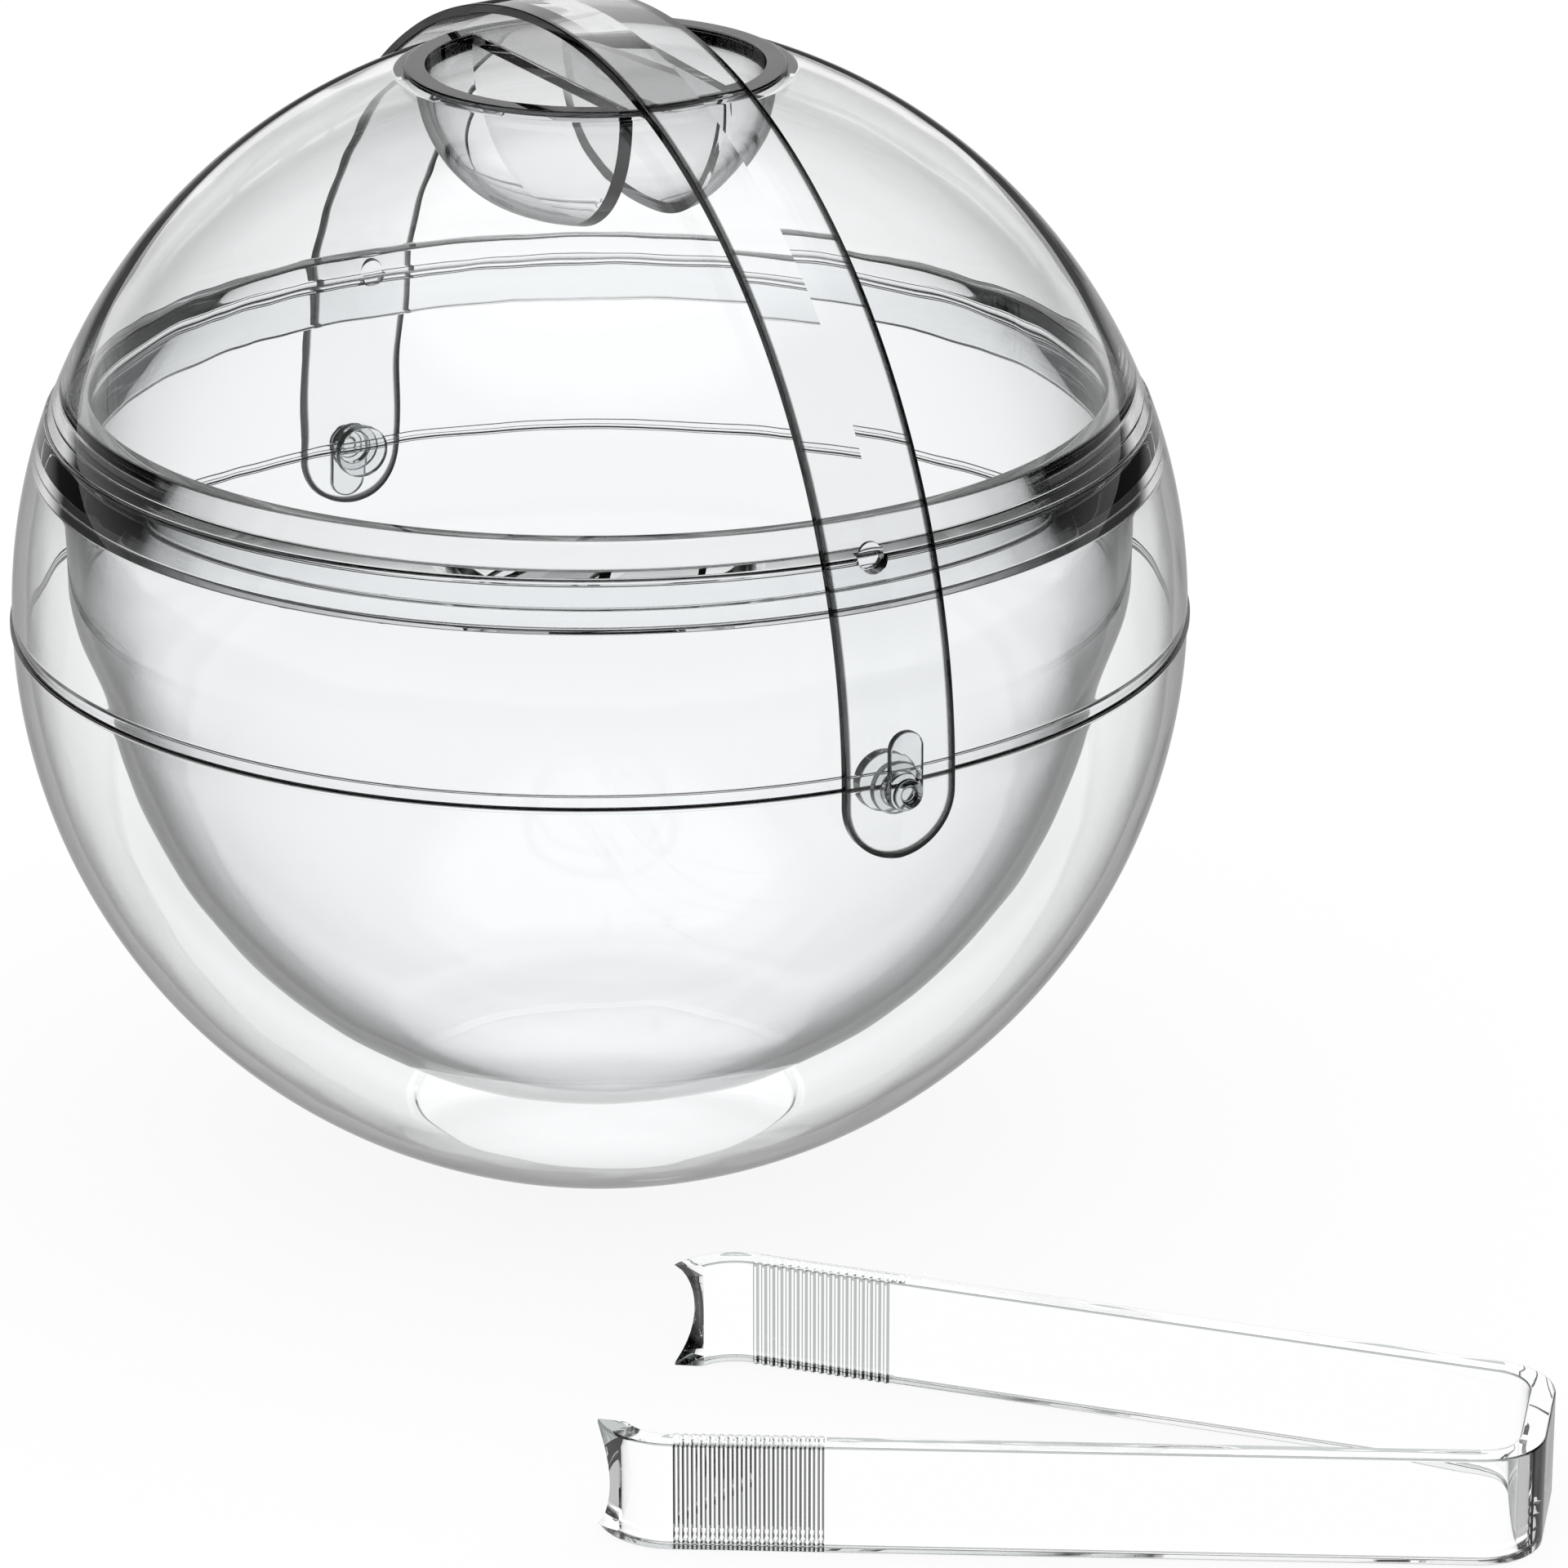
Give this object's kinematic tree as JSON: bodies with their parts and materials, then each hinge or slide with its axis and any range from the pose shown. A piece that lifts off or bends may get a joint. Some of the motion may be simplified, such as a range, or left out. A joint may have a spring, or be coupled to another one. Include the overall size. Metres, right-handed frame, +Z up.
{
  "type": "ball ice bucket with lid and tongs",
  "caption": "Ball-shaped double-walled ice bucket in clear acrylic, with a domed lid, a strap handle that swings on side pivots, and one-piece ice tongs.",
  "frame": {"origin": "middle of the flat base, on the surface that the bucket stands on", "axes": "+Z up; +X along the handle's pivot line, towards the pivot whose lug points up; +Y square to it"},
  "size_m": [0.3433, 0.2108, 0.2081],
  "materials": {
    "shell_acrylic": "polished clear acrylic",
    "bowl_acrylic": "polished clear acrylic",
    "lid_acrylic": "polished clear acrylic",
    "handle_acrylic": "polished clear acrylic",
    "tongs_acrylic": "polished clear acrylic"
  },
  "bodies": {
    "base": {"lower_shell": "shell_acrylic", "upper_shell": "shell_acrylic", "inner_bowl": "bowl_acrylic", "pivot_pin_front": "handle_acrylic", "pivot_pin_back": "handle_acrylic"},
    "lid": {"lid_dome": "lid_acrylic", "lid_ring": "lid_acrylic", "finger_well": "lid_acrylic"},
    "handle": {"handle_strap": "handle_acrylic"},
    "tongs_near": {"tongs_near_half": "tongs_acrylic"},
    "tongs_far": {"tongs_far_half": "tongs_acrylic"}
  },
  "joints": [
    {"name": "handle_swing", "type": "hinge", "parent": "base", "child": "handle", "pos_m": [0, 0, 0.09899], "axis": [1, 0, 0], "range_deg": [-145, 145]},
    {"name": "lid_lift", "type": "slide", "parent": "base", "child": "lid", "axis": [0, 0, 1], "range_m": [0, 0.0006]},
    {"name": "tongs_lift", "type": "slide", "parent": "base", "child": "tongs_near", "axis": [0, 0, 1], "range_m": [0, 0.25]},
    {"name": "tongs_squeeze", "type": "hinge", "parent": "tongs_near", "child": "tongs_far", "pos_m": [0.21902, 0.05336, 0.00935], "axis": [0, 0, 1], "range_deg": [0, 21], "stiffness_Nm_per_rad": 0.5}
  ]
}
